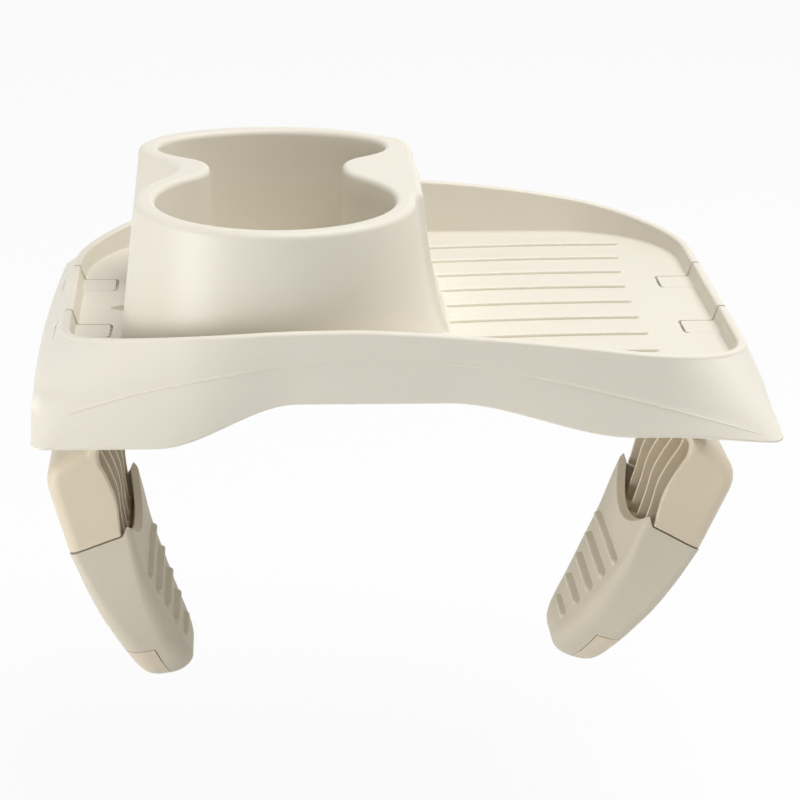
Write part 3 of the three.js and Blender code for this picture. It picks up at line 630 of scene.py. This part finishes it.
# Low rounded ribs across the open half of the deck, each with a round end
def dripRibs():
    x0 = cup["x"] + cup["landOff"] + dripRib["under"]
    half, low, (wideCurve, tallCurve) = dripRib["half"], -dripRib["sunk"], dripRib["crown"]
    for i in range(dripRib["count"]):
        y0 = tray["halfY"] - dripRib["rear"] - dripRib["pitch"] * i
        x1 = tray["halfX"] - dripRib["right"] + dripRib["endBow"] * (y0 - dripRib["endY"]) ** 2
        rings = []
        stations = [(lerp(x0, x1, k / 20), 1) for k in range(21)]
        stations += [(x1 + half * math.sin(a), max(dripRib["endShare"], math.cos(a))) for a in quarter(6)[1:]]
        for x, share in stations:
            y = y0 - dripRib["sag"] * max(0, (x1 - x) / (x1 - x0)) ** 2
            ring = [(x, y + half * share, low), (x, y - half * share, low)]
            for k in range(13):
                a = math.pi * (1 - k / 12)
                wide = math.copysign(abs(math.cos(a)) ** wideCurve, math.cos(a))
                tall = math.sin(a) ** tallCurve
                ring.append((x, y + half * share * wide, dripRib["height"] * tall * share ** 0.5))
            rings.append(ring)
        yield loft(rings)


drain = {"from": 10, "length": 11, "wide": 7, "y": -1, "tipR": 2, "shoulder": 4, "shoulderR": 3}
hook = {
    "width": 14.6, "over": 1.4, "reach": 11.7, "floor": 0.9, "flare": 2.75, "endGap": 0.9, "sideGap": 0.42,
    "recess": 0.55, "belowRim": 0.2, "edge": 0.22, "slitInset": 1.6, "seatR": 2.4, "tipR": 2,
}
leg = {"halfY": 34.2, "restTurn": 4.1, "roundest": 0.95}
plate = {"thick": 2.9, "inset": 2.5, "drop": 2.8, "end": 5.6, "step": 0.5, "cornerR": 0.6, "edge": 0.5}
plate["x"] = tray["halfX"] - plate["inset"]
plate["top"] = -tray["deckT"] - plate["drop"]
hinge = {
    "pinR": 2, "barrelR": 4.6, "z": -35, "plateGap": 0.1, "lugEnd": 8.2, "lugMid": 5, "lugTop": 9,
    "lugFoot": 4.2, "headT": 1.6, "headOver": 1, "chamfer": 0.4,
}
hinge["x"] = plate["x"] - hinge["barrelR"] - hinge["plateGap"]
hookY = leg["halfY"] + hook["over"]
tongueT = tray["deckT"] - hook["floor"]
hookSpans = [(hookY - hook["width"], hookY), (-hookY, hook["width"] - hookY)]
lugSpans = [(-leg["halfY"], hinge["lugEnd"] - leg["halfY"]), (-hinge["lugMid"], hinge["lugMid"]),
            (leg["halfY"] - hinge["lugEnd"], leg["halfY"])]
knuckleSpans = [(lugSpans[k][1] + clearance, lugSpans[k + 1][0] - clearance) for k in (0, 1)]


# The drain slot, and for each hook a slot for the plate, the slit at its tip and the seat that it lies in
def trayCuts():
    tip, wide, y = drain["from"] - tray["halfX"], drain["wide"] / 2, drain["y"]
    end, turn, turnR = tip + drain["length"], tip + drain["shoulder"], drain["shoulderR"]
    yield upright([(tip, y, drain["tipR"]), (turn, y + wide, turnR), (end, y + wide), (end, y - wide),
                   (turn, y - wide, turnR)], -skirt["depth"], tray["footR"])
    tipX, gap, low = tray["halfX"] - hook["reach"], hook["sideGap"], -skirt["depth"]
    seat, outside = tipX - hook["endGap"], hemRight + skirt["outLeft"]
    slot = plate["x"] - clearance, plate["x"] + plate["thick"] + clearance
    for side in (1, -1):
        a, b, inX, outX, endX = (x * side for x in slot + (seat, outside, tipX))
        for y0, y1 in hookSpans:
            yield prism([(a, 0), (a, low), (b, low), (b, 0)], y0 - clearance, y1 + clearance)
            near, far = y0 + hook["slitInset"], y1 - hook["slitInset"]
            yield upright([(inX, near), (inX, far), (endX, far), (endX, near)], clearance - tray["deckT"], 0)
            yield upright([(inX, y0 - gap, hook["seatR"]), (inX, y1 + gap, hook["seatR"]), (outX, y1 + gap),
                           (outX, y0 - gap)], -tongueT, 2 * tray["rimSide"])


# The web that ties the two skins under the land
def coreWeb():
    levels = [cup["height"] * k / 8 for k in range(8)] + [cup["height"] - cup["lip"] + cup["webTop"]]
    land, foot = cup["x"] + cup["landOff"], cup["webFoot"] - tray["deckT"]
    outer = [(land + cupSkirt(land, 0, z) - cup["skin"] / 2, z) for z in levels]
    inner = cup["neckX"] + cup["neckHalf"] + cup["skin"] / 3
    corners = [(inner, foot), (outer[0][0], foot)] + outer + [(inner, levels[-1])]
    return prism(corners, -cup["webHalf"], cup["webHalf"])


inFrame = Matrix.Translation((0, 0, tray["deckT"]))
trayMesh = combine(traySkin(), [("UNION", coreWeb())] + [("UNION", rib) for rib in dripRibs()]
                   + [("DIFFERENCE", cut) for cut in trayCuts()])
finishPiece("trayMoulding", trayMesh, inFrame, False, creamPlastic, "base", "tray")
trayMesh.free()


# Hanger: two hooks that lie in the tray's wall, the plate below them and the lugs for the hinge
def hangerMesh():
    x0, x1, top = plate["x"], plate["x"] + plate["thick"], plate["top"]
    hz, hx, r = hinge["z"], hinge["x"], hinge["barrelR"]
    end = hz - plate["end"]
    stepX, cornerR = x0 + plate["step"], plate["cornerR"]
    body = prism([(x0, top), (x1, top), (x1, end, cornerR), (stepX, end, cornerR),
                  (stepX, hz + hinge["pinR"]), (x0, hz + r)], -hookY, hookY, plate["edge"])
    joins = []
    rimX, rim = tray["halfX"] + tray["wallLean"], tray["rimSide"]
    outX = rimX + tray["rimT"]
    tip, under = tray["halfX"] - hook["reach"], clearance - tongueT
    for y0, y1 in hookSpans:
        shape = prism([
            (tip, 0, 0.3), (tray["halfX"] - 0.2 + hook["recess"], 0, 0.8),
            (rimX + hook["recess"], rim - hook["belowRim"], 1), (outX - 0.1, rim - hook["belowRim"], 1.3),
            (outX + hook["flare"], under + 0.4, 0.4), (outX + hook["flare"] - 0.2, under, 0.2),
            (tip, under, 0.2),
        ], y0, y1, hook["edge"], 3)
        far = outX + hook["reach"]
        plan = upright([(tip, y0, hook["tipR"]), (tip, y1, hook["tipR"]), (far, y1), (far, y0)],
                       -rim, 2 * rim)
        joins.append(combine(shape, [("INTERSECT", plan)]))
        joins.append(prism([(x0, top - 1), (x1, top - 1), (x1, under + 0.3), (x0, under + 0.3)], y0, y1))
    for y0, y1 in lugSpans:
        brace = [(hx - 1, hz + r - 0.1), (x0 + 1, hz + hinge["lugTop"]),
                 (x0 + 1, hz - hinge["lugFoot"]), (hx, hz - r + 0.05)]
        joins += [rod(r, y0, y1, hx, hz), prism(brace, y0, y1)]
    bore = rod(hinge["pinR"] + runClearance, -2 * leg["halfY"], 2 * leg["halfY"], hx, hz)
    return combine(body, [("UNION", join) for join in joins] + [("DIFFERENCE", bore)])


# Hinge pin turned about its own line, with a flat head and a chamfered tail
def pinMesh():
    r, end = hinge["pinR"], leg["halfY"] + clearance
    head, headR, chamfer = -end - hinge["headT"], r + hinge["headOver"], hinge["chamfer"]
    profile = [(0, head), (headR - chamfer, head), (headR, head + chamfer), (headR, -end), (r, -end),
               (r, end - chamfer), (r - chamfer, end), (0, end)]
    bm = bmesh.new()
    verts = [bm.verts.new((x, y, 0)) for x, y in profile]
    edges = [bm.edges.new(pair) for pair in zip(verts, verts[1:])]
    bmesh.ops.spin(bm, geom=verts + edges, cent=(0, 0, 0), axis=(0, 1, 0), angle=2 * math.pi, steps=48,
                   use_merge=True)
    bmesh.ops.remove_doubles(bm, verts=bm.verts[:], dist=1e-4)
    bmesh.ops.recalc_face_normals(bm, faces=bm.faces[:])
    return bm


# Leg sections from collar to tip: inner and outer (x, z) from the hinge line, how far drawn in, corner radius
legSections = [
    ((-11.8, -31.4), (13.2, -41.8), 0, 3),
    ((-12.9, -34.9), (10.2, -44.6), 0, 3),
    ((-15.8, -43.6), (7, -50.8), 0, 3.4),
    ((-20.1, -56.7), (2, -62), 1.2, 4.4),
    ((-25.8, -69), (-4.2, -75), 4.2, 6),
    ((-31.3, -80), (-9.8, -85.4), 8.2, 7.5),
    ((-35.2, -87), (-13.2, -91.6), 11.6, 8),
    ((-37.8, -92), (-15.8, -96.4), 14.8, 8.5),
    ((-38.6, -96.4), (-18.5, -100.6), 18.2, 8),
    ((-36.6, -100.6), (-21.6, -103.8), 22.6, 6),
    ((-32.6, -103.8), (-25.4, -105.4), 28.2, 3),
]
arm = {
    "skin": 2.4, "ribT": 1.8, "ribCount": 4, "outerEdge": 5, "innerEdge": 0.7, "edgeFrom": -3, "edgeOver": 9,
    "shoulder": [(-0.6, -4.4), (7.6, -8.3, 3), (19.6, -17.4, 9)],
    "sEdge": [(-9.2, -36.5, 3), (-7.8, -27, 4), (-4, -18.5, 4), (-0.2, -12, 3)],
    "sFoot": (-10, -39.9), "pastCollar": 1.3, "pastFoot": 5, "ribDown": 3.6, "coreRise": 0.3, "lugRoom": 0.2,
    "softEdge": 0.3,
    "pocket": [(-0.8, -7.9, 1), (6.8, -11.6, 1), (14.2, -17.8, 2), (15.8, -22, 2), (6.1, -47, 2),
               (-3.2, -51.5, 3), (-25.2, -45), (-25.2, -9)],
    "neck": [(-3.6, -2.6), (4.3, -1.6), (4, -6.6), (4.4, -9.4), (-1.2, -9.6), (-2.4, -6)],
    "stop": [(-1.6, 0), (2.4, 0), (2.4, 10.4, 0.8), (-1, 10.4, 0.8)],
}
boot = {
    "thick": 2.6, "collarIn": (-9.5, -39.7), "collarOut": (8.5, -48), "collarGap": 0.75,
    "hornTop": -36.2, "hornPeak": (-12.2, -35), "notchDepth": 16.6, "notchRise": 9.2, "notchHalf": 36,
    "notchStep": 3, "notchReach": 30, "notchTurn": -0.32, "notchAt": (-27.2, 0, -33),
    "barCount": 5, "barFrom": (-20.8, -58.4), "barTo": (-35, -87.3), "barHeight": 1.8,
    "barInset": (8.2, 23.9), "barHalf": 2.3, "barRoot": 0.6, "barTaper": 2.4, "barEnd": (0.12, 0.5, 0.35),
    "softEdge": 0.35,
    "window": [(-24.4, -88), (-5.2, -93), (-5.2, -108.2), (-31, -102.2)],
}


def curveThrough(rows, count):
    def flat(row):
        return [*row[0], *row[1], row[2], row[3]]

    values = [flat(row) for row in rows]
    values = [values[0]] + values + [values[-1]]
    out = []
    for i in range(1, len(values) - 2):
        for k in range(count):
            t = k / count
            a, b, c, d = values[i - 1:i + 3]
            out.append([0.5 * (2 * q + (s - p) * t + (2 * p - 5 * q + 4 * s - w) * t * t
                               + (3 * q - p - 3 * s + w) * t ** 3) for p, q, s, w in zip(a, b, c, d)])
    return out + [values[-1]]


# The leg's envelope drawn in by inset, from the first section to the last less those dropped
def legLoft(inset, first=0, drop=0, perInterval=5, perCorner=9):
    rows = curveThrough(legSections[first:len(legSections) - drop], perInterval)
    rings = []
    for ix, iz, ox, oz, drawn, radius in rows:
        thick = math.hypot(ox - ix, oz - iz) / 2
        ux, uz = (ox - ix) / (2 * thick), (oz - iz) / (2 * thick)
        a = max(clearance, thick - inset)
        b = max(clearance, leg["halfY"] - drawn - inset)
        r = min(max(clearance, radius - inset), a * leg["roundest"], b * leg["roundest"])
        ring = []
        for su, sv, start in ((1, 1, 0), (-1, 1, 90), (-1, -1, 180), (1, -1, 270)):
            for t in quarter(perCorner - 1):
                turn = math.radians(start) + t
                u, v = su * (a - r) + r * math.cos(turn), sv * (b - r) + r * math.sin(turn)
                ring.append(((ix + ox) / 2 + ux * u, v, (iz + oz) / 2 + uz * u))
        rings.append(ring)
    return loft(rings)


def gripBars():
    for i in range(boot["barCount"]):
        t = i / (boot["barCount"] - 1)
        x, z = (lerp(a, b, t) for a, b in zip(boot["barFrom"], boot["barTo"]))
        reach = leg["halfY"] - lerp(*boot["barInset"], t)
        tall, deep, half = boot["barHeight"], boot["thick"] - boot["barRoot"], boot["barHalf"]
        section = rounded([(x + deep, z + half), (x - tall + 0.1, z + 1.1, 0.9),
                           (x - tall + 0.5, z - 1.5, 1.2), (x + deep, z - half)], 6)
        taper, (least, lowEnd, thinEnd) = boot["barTaper"], boot["barEnd"]
        stations = [-reach + taper * (1 - math.cos(a)) for a in quarter(6)]
        rings = []
        for y in stations + [-y for y in reversed(stations)]:
            past = clamp((abs(y) - (reach - taper)) / taper, 0, 1)
            share = max(least, math.sqrt(1 - past ** 2))
            tallShare, wideShare = lerp(lowEnd, 1, share), lerp(thinEnd, 1, share)
            rings.append([(x + deep + (p.x - x - deep) * tallShare, y, z + (p.y - z) * wideShare)
                          for p in section])
        yield loft(rings)


def bootMesh():
    wide = 2 * leg["halfY"]
    (ix, iz), (ox, oz) = boot["collarIn"], boot["collarOut"]

    def seam(x):
        return iz + (oz - iz) / (ox - ix) * (x - ix) - boot["collarGap"]

    left, right, (peakX, peakZ) = ix - 3 * clearance, ox + boot["thick"] + leg["halfY"], boot["hornPeak"]
    aboveCollar = prism([(left, seam(left)), (right, seam(right)), (right, 0), (peakX, 0), (peakX, peakZ)],
                        -wide, wide)
    half, reach = boot["notchHalf"], boot["notchReach"]
    arc = [(y, boot["notchRise"] * (y / leg["halfY"]) ** 2 - boot["notchDepth"])
           for y in range(-half, half + 1, boot["notchStep"])]
    notch = prism([(-half, reach)] + arc + [(half, reach)], -reach, 0)
    turn = Matrix.Rotation(boot["notchTurn"], 4, "Y") @ Matrix.Rotation(math.pi / 2, 4, "Z")
    bmesh.ops.transform(notch, matrix=Matrix.Translation(boot["notchAt"]) @ turn, verts=notch.verts[:])
    hornTop = prism([(-wide, boot["hornTop"]), (wide, boot["hornTop"]), (wide, 0), (-wide, 0)], -wide, wide)
    window = prism(boot["window"], -wide, wide)
    cuts = [aboveCollar, legLoft(boot["thick"], 0, 1), notch, window, hornTop]
    return combine(legLoft(0), [("UNION", bar) for bar in gripBars()] + [("DIFFERENCE", cut) for cut in cuts])


def armMesh():
    wide = 2 * leg["halfY"]
    collarIn, collarOut = Vector(boot["collarIn"]), Vector(boot["collarOut"])
    outer, inner, foot = Vector(arm["shoulder"][-1][:2]), Vector(arm["sEdge"][0][:2]), Vector(arm["sFoot"])
    ends = [tuple(outer.lerp(collarOut, arm["pastCollar"])), tuple(inner.lerp(foot, arm["pastFoot"]))]

    def edge(x, z):
        return lerp(arm["innerEdge"], arm["outerEdge"], smooth((x - arm["edgeFrom"]) / arm["edgeOver"]))

    body = prism(arm["shoulder"] + ends + arm["sEdge"], -leg["halfY"], leg["halfY"], edge)
    across = collarOut - collarIn
    core = legLoft(boot["thick"] + clearance, 1, 2)
    for bm, rise, above in ((body, 0, True), (core, arm["coreRise"], False)):
        bmesh.ops.bisect_plane(bm, geom=bm.verts[:] + bm.edges[:] + bm.faces[:],
                               plane_co=(collarIn.x, 0, collarIn.y + rise), plane_no=(across.y, 0, -across.x),
                               clear_outer=above, clear_inner=not above)
        bmesh.ops.holes_fill(bm, edges=[e for e in bm.edges if e.is_boundary])
    # the core is cut back along the foot of the S-edge, carried on down
    ribLine = foot.lerp(inner, 1), foot.lerp(inner, -arm["ribDown"])
    behind = [(x - leg["halfY"], z) for x, z in reversed(ribLine)]
    core = combine(core, [("DIFFERENCE", prism([tuple(p) for p in ribLine] + behind, -wide, wide))])
    a, b, c, d = boot["window"]
    tongue = prism([(a[0] + clearance, a[1] - clearance), (b[0], b[1] - clearance), (c[0], c[1] + clearance),
                    (d[0] + clearance, d[1] + clearance)], -leg["halfY"], leg["halfY"])
    tongue = combine(tongue, [("INTERSECT", legLoft(0))])
    changes = [("UNION", core), ("UNION", tongue)]
    pitch = (2 * leg["halfY"] - 2 * arm["skin"] - arm["ribCount"] * arm["ribT"]) / (arm["ribCount"] + 1)
    for i in range(arm["ribCount"] + 1):
        y0 = -leg["halfY"] + arm["skin"] + i * (pitch + arm["ribT"])
        changes.append(("DIFFERENCE", prism(arm["pocket"], y0, y0 + pitch)))
    r = hinge["barrelR"]
    for y0, y1 in knuckleSpans:
        changes.append(("UNION", rod(r, y0, y1)))
        changes += [("UNION", prism(arm[shape], y0, y1)) for shape in ("neck", "stop")]
    room = r + clearance + arm["lugRoom"]
    changes += [("DIFFERENCE", rod(room, -wide, lugSpans[0][1] + clearance)),
                ("DIFFERENCE", rod(room, lugSpans[1][0] - clearance, lugSpans[1][1] + clearance)),
                ("DIFFERENCE", rod(room, lugSpans[2][0] - clearance, wide)),
                ("DIFFERENCE", rod(hinge["pinR"] + runClearance, -wide, wide))]
    return combine(body, changes)


hangerShape, pinShape, armShape, bootShape = hangerMesh(), pinMesh(), armMesh(), bootMesh()
for side in ("left", "right"):
    mirrored = side == "left"
    hingeX = -hinge["x"] if mirrored else hinge["x"]
    atHinge = Matrix.Translation((hingeX, 0, hinge["z"] + tray["deckT"]))
    turned = atHinge @ Matrix.Rotation(math.radians(leg["restTurn"]), 4, "Y")
    legBody = side + "_leg"
    finishPiece(side + "Hanger", hangerShape, inFrame, mirrored, creamPlastic, "base",
                side + "_hanger")
    finishPiece(side + "HingePin", pinShape, atHinge, mirrored, pinSteel, "base",
                side + "_hinge_pin")
    finishPiece(side + "Arm", armShape, turned, mirrored, tanPlastic, legBody,
                side + "_arm", arm["softEdge"])
    finishPiece(side + "Boot", bootShape, turned, mirrored, gripRubber, legBody,
                side + "_boot", boot["softEdge"])


# Stage: a pale floor well below the legs that shows white and keeps a faint shadow, and soft studio light
studio = {
    "floorDrop": 0.05, "floorSize": 6, "floorColour": (0.9, 0.9, 0.9, 1), "floorGlow": 0.92,
    "worldLevel": 0.27,
    "lights": {    # place, aim, size and power
        "topLight": ((0.42, -0.04, 1.2), (0, 0, 0), (1.2, 1.2), 16.8),
        "leftLight": ((-0.75, -0.4, -0.03), (0, 0, -0.04), (0.5, 0.3), 3.4),
        "rightLight": ((1.1, -0.3, 0.3), (0, 0, 0), (0.6, 0.6), 0.9),
    },
}


def pureWhenSeen(tree, plain, strength):
    # white to the camera and in reflections, and the plain shader to everything else
    nodes, links = tree.nodes, tree.links
    path = nodes.new("ShaderNodeLightPath")
    either = nodes.new("ShaderNodeMath")
    either.operation = "MAXIMUM"
    links.new(path.outputs["Is Camera Ray"], either.inputs[0])
    links.new(path.outputs["Is Glossy Ray"], either.inputs[1])
    seen = nodes.new("ShaderNodeMath")
    seen.operation = "MAXIMUM"
    links.new(either.outputs[0], seen.inputs[0])
    links.new(path.outputs["Is Transmission Ray"], seen.inputs[1])
    share = nodes.new("ShaderNodeMath")
    share.operation = "MULTIPLY"
    links.new(seen.outputs[0], share.inputs[0])
    share.inputs[1].default_value = strength
    mix = nodes.new("ShaderNodeMixShader")
    links.new(share.outputs[0], mix.inputs["Fac"])
    links.new(plain.outputs[0], mix.inputs[1])
    return mix


def makeStage():
    bm = bmesh.new()
    bmesh.ops.create_grid(bm, x_segments=2, y_segments=2, size=studio["floorSize"])
    low = cadBox[0].z - studio["floorDrop"]
    bmesh.ops.translate(bm, verts=bm.verts[:], vec=(0, 0, low))
    mesh = bpy.data.meshes.new("floor")
    bm.to_mesh(mesh)
    bm.free()
    floor = bpy.data.objects.new("floor", mesh)
    bpy.context.scene.collection.objects.link(floor)
    mat = bpy.data.materials.new("paleFloor")
    mat.use_nodes = True
    tree = mat.node_tree
    shader = tree.nodes["Principled BSDF"]
    shader.inputs["Base Color"].default_value = studio["floorColour"]
    shader.inputs["Roughness"].default_value = 0.9
    glow = tree.nodes.new("ShaderNodeEmission")
    mix = pureWhenSeen(tree, shader, studio["floorGlow"])
    tree.links.new(glow.outputs[0], mix.inputs[2])
    tree.links.new(mix.outputs[0], tree.nodes["Material Output"].inputs["Surface"])
    mesh.materials.append(mat)

    world = bpy.data.worlds.new("studioWorld")
    world.use_nodes = True
    bpy.context.scene.world = world
    tree = world.node_tree
    plain = tree.nodes["Background"]
    plain.inputs["Color"].default_value = (1, 1, 1, 1)
    plain.inputs["Strength"].default_value = studio["worldLevel"]
    white = tree.nodes.new("ShaderNodeBackground")
    white.inputs["Color"].default_value = (1, 1, 1, 1)
    mix = pureWhenSeen(tree, plain, 1)
    tree.links.new(white.outputs[0], mix.inputs[2])
    tree.links.new(mix.outputs[0], tree.nodes["World Output"].inputs["Surface"])


def softBox(name, at, aim, size, power):
    lamp = bpy.data.lights.new(name, "AREA")
    lamp.shape = "RECTANGLE"
    lamp.size, lamp.size_y = size
    lamp.energy = power
    obj = bpy.data.objects.new(name, lamp)
    obj.location = at
    obj.rotation_euler = (Vector(aim) - Vector(at)).to_track_quat("-Z", "Y").to_euler()
    bpy.context.scene.collection.objects.link(obj)


makeStage()
for lightName, setting in studio["lights"].items():
    softBox(lightName, *setting)
print("stage and lights set")


# Camera from the photograph's vanishing lines: place in millimetres, turns in degrees, focal length in pixels
view = {"at": (-58.2, -941.6, 287.1), "yaw": 3.70, "pitch": 18.80, "roll": 0.70, "focal": 2716, "frame": 800}


def makeCamera():
    yaw, pitch, roll = (math.radians(view[k]) for k in ("yaw", "pitch", "roll"))
    right = Vector((math.cos(yaw), -math.sin(yaw), 0))
    level = Vector((math.sin(yaw), math.cos(yaw), 0))
    forward = level * math.cos(pitch) - Vector((0, 0, math.sin(pitch)))
    up = Vector((0, 0, math.cos(pitch))) + level * math.sin(pitch)
    camRight = right * math.cos(roll) + up * math.sin(roll)
    camUp = up * math.cos(roll) - right * math.sin(roll)
    turn = Matrix((camRight, camUp, -forward)).transposed()
    data = bpy.data.cameras.new("camera")
    data.sensor_width = 36
    data.lens = view["focal"] / view["frame"] * data.sensor_width
    data.clip_end = 50
    camera = bpy.data.objects.new("camera", data)
    camera.matrix_world = Matrix.Translation(Vector(view["at"]) * metres) @ turn.to_4x4()
    bpy.context.scene.collection.objects.link(camera)
    bpy.context.scene.camera = camera


makeCamera()
bpy.context.scene.view_settings.view_transform = "Standard"
print("camera set")
